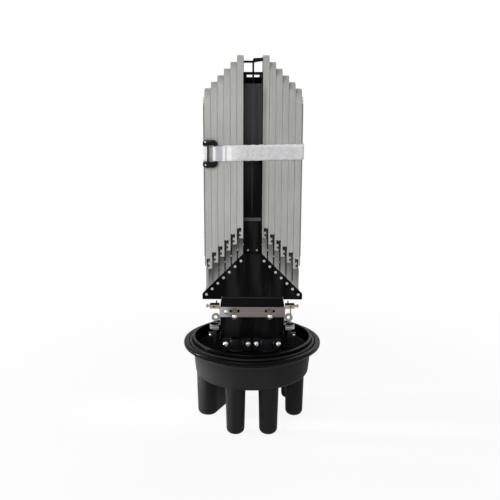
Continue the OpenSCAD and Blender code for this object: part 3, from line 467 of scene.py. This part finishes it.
def strapFinish(look, setup):
    # looped pile: a bright woven ground with short silvery loops; painted light makes it paler towards
    # the left, and painted shade makes it duller in the fold's middle
    finish, start = newFinish("loopBand")
    place = objectSpace(start)
    x, y, z = (place.along(axis) for axis in "XYZ")
    pile = noise(start, place, 900.0, detail=4.0, rough=0.75)
    tufts = noise(start, objectSpace(start, (1.0, 1.0, 1.6)), 260.0, rough=0.6)
    rows = start.node("ShaderNodeTexWave", {"wave_type": "BANDS", "bands_direction": "Z"},
                      {"Vector": place, "Scale": 260.0, "Distortion": 2.2, "Detail": 2.0}, out="Fac")
    patch = noise(start, place, 190.0, detail=5.0, rough=0.7).ramp(0.40, 0.64)
    height = pile * 0.35 + tufts * 0.50 + rows * 0.15
    onFront = y.ramp(look["sideY"], look["frontY"])
    # painted light: paler towards the left
    ground = x.ramp(-0.036, -0.014).mix(opaque(look["leftLit"]), opaque(look["plain"]))
    colour = height.ramp(0.34, 0.56).mix(shaded(look["plain"], 0.82), ground)
    colour = (patch * look["patches"]).mix(colour, opaque(look["white"]))
    # painted highlights: white along the upper edge, round the bar and on both sides of the fold's end
    fromGap = x - setup["gapTo"]
    fromEnd = x - setup["foldEnd"]
    fromTop = strapBox[1][2] - z
    atEdge = fromTop.ramp(*look["edgeBlur"])
    atBar = fromGap.ramp(*look["barBlur"], 1.0, 0.0)
    atEnd = fromEnd.band(*look["endBlur"])
    paintedHighlight = start.maths("MAXIMUM", atEnd, atBar) * onFront * look["frontHighlight"]
    paintedHighlight = start.maths("MAXIMUM", paintedHighlight, atEdge * look["edgeHighlight"])
    colour = paintedHighlight.mix(colour, opaque(look["white"]))
    # painted shade in the fold's middle
    inFold = fromGap.ramp(*look["foldFrom"]) * fromEnd.ramp(*look["foldTo"], 1.0, 0.0) * onFront
    colour = (inFold * look["foldShade"]).mix(colour, opaque(look["fold"]))
    # painted shadow along the fold's end
    crease = fromEnd.band(*look["creaseBlur"]) * onFront
    colour = (crease * look["creaseShade"]).mix(colour, opaque(look["crease"]))
    surface(start, {"Base Color": colour, "Roughness": 0.62 + pile * 0.2,
                    "Sheen Weight": 0.35, "Sheen Roughness": 0.4, "Specular IOR Level": 0.35,
                    "Normal": bump(start, height, 0.7, 0.0009)})
    return finish


print("making finishes")
blackPlastic = {
    "colour": (0.0020, 0.0020, 0.0026), "vary": 0.3, "grainScale": 1300.0, "grain": 0.14,
    "rough": 0.36, "specular": 0.03, "dust": 0.10, "dustColour": (0.03, 0.03, 0.03)}
frameBlack = mouldedPlastic("frameBlack", {**blackPlastic, "polish": 0.22})
# the deck plate's top edge gets a painted highlight
deckBlack = mouldedPlastic("deckBlack", {**blackPlastic, "paintedEdgeHighlight": {
    "top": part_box("deck_plate")[1][2], "width": 0.0030, "colour": (0.026, 0.026, 0.027)}})
smoothBlack = {
    "vary": 0.25, "grainScale": 700.0, "grain": 0.05, "dust": 0.06, "dustColour": (0.04, 0.04, 0.04)}
glossBlack = mouldedPlastic("glossBlack", {
    **smoothBlack, "colour": (0.0045, 0.0044, 0.0062),
    "rough": 0.30, "roughVary": 0.10, "specular": 0.50})
buckleBlack = mouldedPlastic("buckleBlack", {
    **smoothBlack, "colour": (0.004, 0.004, 0.0045),
    "rough": 0.22, "roughVary": 0.08, "specular": 0.12})
# the trays' lower ends step down at about 45 degrees to both sides; stepsTop is the height of
# that slope over the middle
trayLow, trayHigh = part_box("tray_left_1")
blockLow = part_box("hinge_block_left")[0]
hingeGrey = mouldedPlastic("hingeGrey", {
    "colour": (0.37, 0.37, 0.35), "vary": 0.08, "grainScale": 1500.0, "grain": 0.14,
    "rough": 0.5, "dust": 0.12, "dustColour": (0.22, 0.22, 0.21),
    # painted shadow under the trays' lower ends, on the blocks' front faces
    "paintedShadow": {"stepsTop": trayLow[2] - (trayLow[0] + trayHigh[0]) / 2, "reach": 0.042,
              "frontY": blockLow[1] + 0.004, "colour": (0.030, 0.030, 0.030), "thinnest": 0.42,
              "rightShare": 0.76, "litEndX": blockLow[0] + 0.0085, "litEndShare": 0.25}})
barGrey = mouldedPlastic("barGrey", {
    "colour": (0.070, 0.070, 0.074), "vary": 0.12, "grainScale": 1500.0, "grain": 0.14,
    "rough": 0.45, "specular": 0.2, "dust": 0.1, "dustColour": (0.12, 0.12, 0.12)})
sealRubber = mouldedPlastic("sealRubber", {
    "colour": (0.006, 0.006, 0.006), "vary": 0.2, "grainScale": 900.0, "grain": 0.1,
    "rough": 0.45, "specular": 0.12, "dust": 0.2, "dustColour": (0.04, 0.04, 0.04)})
brightSteel = brushedMetal("brightSteel", {
    "colour": (0.62, 0.61, 0.58), "lineScale": (1.0, 1.0, 1.0), "rough": 0.20, "lineDepth": 0.05,
    "tarnish": 0.3, "tarnishColour": (0.22, 0.20, 0.16)})
rodSteel = brushedMetal("rodSteel", {
    "colour": (0.46, 0.455, 0.44), "lineScale": (1.0, 1.0, 1.0), "rough": 0.26, "lineDepth": 0.05,
    "tarnish": 0.3, "tarnishColour": (0.20, 0.19, 0.17)})
sheetSteel = brushedMetal("sheetSteel", {
    "colour": (0.17, 0.150, 0.148), "lineScale": (0.12, 1.0, 3.0), "rough": 0.34, "lineDepth": 0.12,
    "tarnish": 0.25, "tarnishColour": (0.12, 0.105, 0.095),
    # its left end is painted paler, a painted reflection
    "fade": {"axis": "X", "from": -0.058, "to": -0.036, "colour": (0.36, 0.36, 0.365)}})
fittingSteel = brushedMetal("fittingSteel", {
    "colour": (0.27, 0.26, 0.235), "lineScale": (1.0, 1.0, 2.0), "rough": 0.24, "lineDepth": 0.10,
    "tarnish": 0.45, "tarnishColour": (0.12, 0.11, 0.09)})
studBrass = brushedMetal("studBrass", {
    "colour": (0.155, 0.13, 0.085), "lineScale": (1.0, 1.0, 1.0), "rough": 0.26, "lineDepth": 0.06,
    "tarnish": 0.45, "tarnishColour": (0.09, 0.07, 0.04)})
terminalBrass = brushedMetal("terminalBrass", {
    "colour": (0.36, 0.295, 0.25), "lineScale": (0.3, 1.0, 1.0), "rough": 0.36, "lineDepth": 0.08,
    "tarnish": 0.35, "tarnishColour": (0.20, 0.155, 0.125),
    "fade": {"axis": "Z", "from": 0.2475, "to": 0.2462, "colour": (0.03, 0.028, 0.026)}})
baseMoulding = baseFinish(baseLook)
trayPlasticLeft = trayFinish("trayPlasticLeft", trayLook, 1.0)
# the right stack is the same plastic, painted a little darker as painted shade, with painted shade
# beside the column too
trayPlasticRightShaded = trayFinish("trayPlasticRightShaded", trayLook, 0.93, columnShadeStrength=0.6)
coverSheet = coverFinish(coverLook)
smokyClear = lidFinish(lidLook)
loopBand = strapFinish(strapLook, strapSetup)

finishOf = {
    "base_body": baseMoulding, "seal_ring": sealRubber,
    "frame_foot": frameBlack, "deck_plate": deckBlack, "column": frameBlack, "tray_stop": frameBlack,
    "delta_plate_front": frameBlack, "delta_plate_back": frameBlack,
    "foot_screws": brightSteel, "column_screws": fittingSteel, "bracket_screws": brightSteel,
    "terminal_screws": fittingSteel, "saddle_screws": brightSteel, "trough_screws": brightSteel,
    "tie_rods_left": rodSteel, "tie_rods_right": rodSteel,
    "hinge_block_left": hingeGrey, "hinge_block_right": hingeGrey, "column_bar": barGrey,
    "hinge_barrels_left": glossBlack, "hinge_barrels_right": glossBlack,
    "column_cover": coverSheet, "cross_bracket": sheetSteel,
    "bracket_bolts": studBrass, "bracket_nuts": studBrass,
    "terminal_left": terminalBrass, "terminal_right": terminalBrass,
    "earth_rod": fittingSteel, "hose_clamp_left": fittingSteel, "hose_clamp_right": fittingSteel,
    "eye_lug_left": fittingSteel, "eye_lug_right": fittingSteel,
    "saddle_left": glossBlack, "saddle_right": glossBlack,
    "trough_left": glossBlack, "trough_right": glossBlack,
    "lid_left": smokyClear, "lid_right": smokyClear,
    "strap": loopBand, "strap_buckle": buckleBlack,
}
for name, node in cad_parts.items():
    if name.startswith("tray_left"):
        finish = trayPlasticLeft
    elif name.startswith("tray_right"):
        finish = trayPlasticRightShaded
    else:
        finish = finishOf[name]
    node.data.materials.clear()
    node.data.materials.append(finish)
print("finishes assigned")


def addPiece(name, shape, finish):
    mesh = bpy.data.meshes.new(name)
    for face in shape.faces:
        face.smooth = True
    shape.to_mesh(mesh)
    shape.free()
    mesh.materials.append(finish)
    piece = bpy.data.objects.new(name, mesh)
    bpy.context.scene.collection.objects.link(piece)
    return piece


def boxShape(low, high):
    shape = bmesh.new()
    bmesh.ops.create_cube(shape, size=1.0)
    size = [h - l for l, h in zip(low, high)]
    middle = [(h + l) / 2 for l, h in zip(low, high)]
    bmesh.ops.scale(shape, verts=shape.verts, vec=size)
    bmesh.ops.translate(shape, verts=shape.verts, vec=middle)
    return shape


def joinShape(shape, part):
    # adds part to shape, by way of a mesh that is removed again
    spare = bpy.data.meshes.new("spare")
    part.to_mesh(spare)
    part.free()
    shape.from_mesh(spare)
    bpy.data.meshes.remove(spare)


def roundEdges(shape, edges, width, segments):
    bmesh.ops.bevel(shape, geom=edges, offset=width, offset_type="OFFSET", segments=segments,
                    profile=0.5, affect="EDGES", clamp_overlap=True, material=-1)


def wholeOf(shape):
    return shape.verts[:] + shape.edges[:] + shape.faces[:]


def sliceAcross(shape, axis, places):
    normal = [1.0 if k == axis else 0.0 for k in range(3)]
    for place in places:
        point = [place if k == axis else 0.0 for k in range(3)]
        bmesh.ops.bisect_plane(shape, geom=wholeOf(shape), plane_co=point, plane_no=normal, dist=1e-7)


def span(first, last, count):
    return [first + (last - first) * k / count for k in range(1, count)]


def climbOf(x, y, setup):
    # only the front is drawn up; it fades to level round the sides
    share = (-y - setup["climbFrom"]) / setup["climbOver"]
    return setup["climb"] * x * min(1.0, max(0.0, share))


def strapHalf(side, setup):
    # one half of the band, cut through at the middle of its front and its back
    low, high = (Vector(c) for c in strapBox)
    half = high.x
    depth = high.y
    shape = boxShape((-half, -depth, low.z), (half, depth, high.z))
    upright = [e for e in shape.edges if abs(e.verts[0].co.z - e.verts[1].co.z) > 0.01]
    roundEdges(shape, upright, setup["cornerRadius"], 6)
    lids = [f for f in shape.faces if abs(f.normal.z) > 0.9]
    bmesh.ops.delete(shape, geom=lids, context="FACES")
    bmesh.ops.bisect_plane(shape, geom=wholeOf(shape), plane_co=(0, 0, 0), plane_no=(side, 0, 0),
                           clear_inner=True)
    if side < 0:
        sliceAcross(shape, 0, [setup["gapFrom"], setup["gapTo"]])
        between = [f for f in shape.faces if f.calc_center_median().y < -depth + 0.001
                   and setup["gapFrom"] < f.calc_center_median().x < setup["gapTo"]]
        bmesh.ops.delete(shape, geom=between, context="FACES")
    sliceAcross(shape, 0, span(-half, half, setup["cuts"][0]))
    sliceAcross(shape, 1, span(-depth, depth, setup["cuts"][1]))
    sliceAcross(shape, 2, span(low.z, high.z, setup["cuts"][2]))
    shape.normal_update()
    rippleX, rippleUp = setup["rippleFront"]
    rippleY, rippleDown = setup["rippleSide"]
    frayX, frayY = setup["frayTurns"]
    for vert in shape.verts:
        x, y, z = vert.co
        wave = math.sin(x * rippleX + z * rippleUp) * math.sin(y * rippleY + z * rippleDown + 0.7)
        offMiddle = abs(z - (low.z + high.z) / 2) / ((high.z - low.z) / 2)
        fray = setup["fray"] * math.sin(x * frayX + y * frayY) if offMiddle > 0.95 else 0.0
        vert.co += vert.normal * (wave * setup["ripple"] - setup["edgeDrop"] * offMiddle ** 6)
        vert.co.z += climbOf(x, y, setup) + fray
    bmesh.ops.recalc_face_normals(shape, faces=shape.faces)
    bmesh.ops.solidify(shape, geom=shape.faces[:], thickness=setup["thick"])
    for edge in shape.edges:
        if all(abs(v.co.x) < 1e-5 for v in edge.verts):
            edge.smooth = False    # the cut end, where the other half goes on
    if side < 0:
        addFold(shape, setup)
    bmesh.ops.recalc_face_normals(shape, faces=shape.faces)
    sideName = "left" if side < 0 else "right"
    piece = addPiece("strap" + sideName.capitalize(), shape, loopBand)
    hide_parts("strap")
    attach(piece, "frame")
    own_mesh(piece)


def addFold(shape, setup):
    # the strap's end, turned round the inner bar and laid back on the band
    low, high = (Vector(c) for c in strapBox)
    front = -high.y
    fold = boxShape((setup["gapTo"] - setup["foldRound"], front - setup["foldThick"],
                     low.z + setup["foldInset"][0]),
                    (setup["foldEnd"], front + setup["foldSink"], high.z - setup["foldInset"][1]))
    roundEdges(fold, fold.edges[:], setup["foldRadius"], 3)
    sliceAcross(fold, 0, span(setup["gapTo"], setup["foldEnd"], setup["foldCuts"]))
    sliceAcross(fold, 2, span(low.z, high.z, setup["cuts"][2]))
    width = setup["foldEnd"] - setup["gapTo"]
    for vert in fold.verts:
        along = min(1.0, max(0.0, (vert.co.x - setup["gapTo"]) / width))
        if vert.co.y < front - 0.001:
            vert.co.y += setup["foldCurve"] * (2.0 * along - 1.0) ** 4 - setup["foldProud"]
        vert.co.z += climbOf(vert.co.x, vert.co.y, setup)
    joinShape(shape, fold)


buckleSetup = {
    "armHeight": 0.0104,
    "upperLift": 0.0013,       # the upper arm is this much clear of the band
    "lowerDrop": 0.0003,
    "reachBack": 0.0010,       # how far the arms reach in past the band's face
    "edgeRadius": 0.0013,
    "barReach": 0.004,         # how far both bars run up and down into the arms
    "outerBar": 0.0027,        # its width, and its place from the arms' outer end
    "outerBarFrom": 0.0076,
    "outerBarSet": (0.0008, 0.0036),       # its front and back, from the arms' front
    "outerBarRadius": 0.0008,
    "innerBarRadius": 0.0011,
    "innerBarFrom": 0.0018,    # from the end of the gap
    "innerBarOut": 0.0008,     # in front of the band's face
    "pinRadius": 0.0015,
    "pinFlat": 0.45,
    "pinFrom": 0.0048,         # from the arms' outer end
    "pinShare": 0.62,          # of the arm's height
    "pinDrop": 0.0013,
}


def armOutline(x0, x1, height, turn):
    # seen from the front, with the short slope at the inner end
    points = [(x0, 0.0015), (x0 + 0.0015, -0.0006), (x0 + 0.0085, -0.0004), (x0 + 0.010, 0.0), (x1, 0.0),
              (x1 - 0.0012, height * 0.55), (x1 - 0.0045, height * 0.93), (x1 - 0.008, height),
              (x0 + 0.004, height), (x0 + 0.001, height * 0.82), (x0, height * 0.6)]
    return [(x, z * turn) for x, z in points]


def armShape(outline, front, back, level, radius):
    # the outline at the front, pushed back and rounded
    arm = bmesh.new()
    face = arm.faces.new([arm.verts.new((x, front, level + z)) for x, z in outline])
    pushed = bmesh.ops.extrude_face_region(arm, geom=[face])["geom"]
    bmesh.ops.translate(arm, verts=[v for v in pushed if isinstance(v, bmesh.types.BMVert)],
                        vec=(0.0, back - front, 0.0))
    bmesh.ops.recalc_face_normals(arm, faces=arm.faces)
    roundEdges(arm, [e for e in arm.edges if len(e.link_faces) == 2], radius, 3)
    return arm


def makeBuckle(setup):
    low, high = (Vector(c) for c in buckleBox)
    bandLow, bandHigh = (Vector(c) for c in strapBox)
    front = low.y
    back = -bandHigh.y + setup["reachBack"]
    lean = climbOf((low.x + high.x) / 2, front, strapSetup)
    upperHeight = setup["armHeight"] - setup["upperLift"]
    upper = armShape(armOutline(low.x, high.x, upperHeight, 1), front, back,
                     bandHigh.z + setup["upperLift"] + lean, setup["edgeRadius"])
    lower = armShape(armOutline(low.x, high.x, setup["armHeight"], -1), front, back,
                     bandLow.z - setup["lowerDrop"] + lean, setup["edgeRadius"])
    barLow = bandLow.z - setup["barReach"]
    barHigh = bandHigh.z + setup["barReach"]
    barX = low.x + setup["outerBarFrom"]
    outer = boxShape((barX, front + setup["outerBarSet"][0], barLow),
                     (barX + setup["outerBar"], front + setup["outerBarSet"][1], barHigh))
    roundEdges(outer, outer.edges[:], setup["outerBarRadius"], 3)
    inner = bmesh.new()
    bmesh.ops.create_cone(inner, cap_ends=True, segments=24, radius1=setup["innerBarRadius"],
                          radius2=setup["innerBarRadius"], depth=barHigh - barLow)
    bmesh.ops.translate(inner, verts=inner.verts,
                        vec=(strapSetup["gapTo"] + setup["innerBarFrom"],
                             -bandHigh.y - setup["innerBarOut"], (barHigh + barLow) / 2))
    joined = bmesh.new()
    for part in (upper, lower, outer, inner):
        joinShape(joined, part)
    piece = addPiece("buckleFrame", joined, buckleBlack)
    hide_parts("strap_buckle")
    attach(piece, "frame")
    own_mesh(piece)
    pins = bmesh.new()
    pinRise = setup["armHeight"] * setup["pinShare"]
    for z in (bandHigh.z + pinRise, bandLow.z - pinRise):
        made = bmesh.ops.create_uvsphere(pins, u_segments=20, v_segments=12, radius=setup["pinRadius"])
        bmesh.ops.scale(pins, verts=made["verts"], vec=(1.0, setup["pinFlat"], 1.0))
        bmesh.ops.translate(pins, verts=made["verts"],
                            vec=(low.x + setup["pinFrom"], front, z - setup["pinDrop"]))
    pinPiece = addPiece("bucklePins", pins, brightSteel)
    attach(pinPiece, "frame")
    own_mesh(pinPiece)


strapHalf(-1, strapSetup)
strapHalf(1, strapSetup)
makeBuckle(buckleSetup)
print("strap and buckle made")


def seenWhite(start):
    # 1 on the rays that see the plain white behind the closure, 0 on those that only light it
    seen = start.node("ShaderNodeLightPath", out="Is Camera Ray")
    for ray in ("Is Glossy Ray", "Is Transmission Ray"):
        seen = start.maths("ADD", seen, start.node("ShaderNodeLightPath", out=ray), clamp=True)
    return seen


stageSetup = {
    "floorHalf": 9.0,
    "floorZ": -0.0004,
    "floorTone": 0.86,
    "shadowShare": 0.10,       # how much of the lit floor shows through the white
    "shadowNear": 0.35,        # it does so up to here from the closure, and no more from shadowFar on
    "shadowFar": 1.1,
    "roomLevel": 0.38,         # the world's light
}
white = opaque((1.0, 1.0, 1.0))


def makeFloor(setup):
    shape = bmesh.new()
    bmesh.ops.create_grid(shape, x_segments=1, y_segments=1, size=setup["floorHalf"])
    bmesh.ops.translate(shape, verts=shape.verts, vec=(0.0, 0.0, setup["floorZ"]))
    finish, start = newFinish("paleFloor")
    place = start.node("ShaderNodeTexCoord", out="Object")
    distance = start.node("ShaderNodeVectorMath", {"operation": "LENGTH"}, {0: place}, out="Value")
    away = distance.ramp(setup["shadowNear"], setup["shadowFar"])
    matt = start.node("ShaderNodeBsdfDiffuse", {}, {"Color": shaded(white[:3], setup["floorTone"])})
    glow = start.node("ShaderNodeEmission", {}, {"Color": white, "Strength": 1.0})
    share = seenWhite(start) * (1.0 - (1.0 - away) * setup["shadowShare"])
    both = start.node("ShaderNodeMixShader", {}, {0: share, 1: matt, 2: glow})
    start.node("ShaderNodeOutputMaterial", {}, {"Surface": both})
    floor = addPiece("paleFloor", shape, finish)


def makeWorld(setup):
    world = bpy.data.worlds.new("softRoom")
    bpy.context.scene.world = world
    world.use_nodes = True
    world.node_tree.nodes.clear()
    start = Wire(world.node_tree)
    room = start.node("ShaderNodeBackground", {}, {"Color": white, "Strength": setup["roomLevel"]})
    plain = start.node("ShaderNodeBackground", {}, {"Color": white, "Strength": 1.0})
    both = start.node("ShaderNodeMixShader", {}, {0: seenWhite(start), 1: room, 2: plain})
    start.node("ShaderNodeOutputWorld", {}, {"Surface": both})


lampSetup = {
    "keyLamp": {"place": (-0.9, -2.0, 1.3), "target": (0.0, 0.0, 0.35), "size": 1.6, "watts": 28.0},
    "leftLamp": {"place": (-1.9, 0.2, 0.7), "target": (0.0, 0.0, 0.3), "size": 1.2, "watts": 17.0},
    "rightLamp": {"place": (2.0, -0.2, 0.9), "target": (0.0, 0.0, 0.3), "size": 1.2, "watts": 3.0},
    # small, close and narrow, so that it lights the base alone
    "lowLamp": {"place": (-0.80, 0.04, 0.16), "target": (0.0, 0.0, 0.075), "size": 0.16, "watts": 0.42,
                "spread": 0.32},
    "backLamp": {"place": (0.7, 1.6, 1.6), "target": (0.0, 0.0, 0.4), "size": 1.2, "watts": 10.0},
}


def makeLamps(setup):
    for name, lamp in setup.items():
        lampData = bpy.data.lights.new(name, "AREA")
        lampData.shape = "DISK"
        lampData.size = lamp["size"]
        lampData.energy = lamp["watts"]
        if "spread" in lamp:
            lampData.spread = lamp["spread"]
        lampObject = bpy.data.objects.new(name, lampData)
        bpy.context.scene.collection.objects.link(lampObject)
        aim = Vector(lamp["target"]) - Vector(lamp["place"])
        lampObject.rotation_euler = aim.to_track_quat("-Z", "Y").to_euler()
        lampObject.location = lamp["place"]


makeFloor(stageSetup)
makeWorld(stageSetup)
makeLamps(lampSetup)
print("floor, world and lamps made")
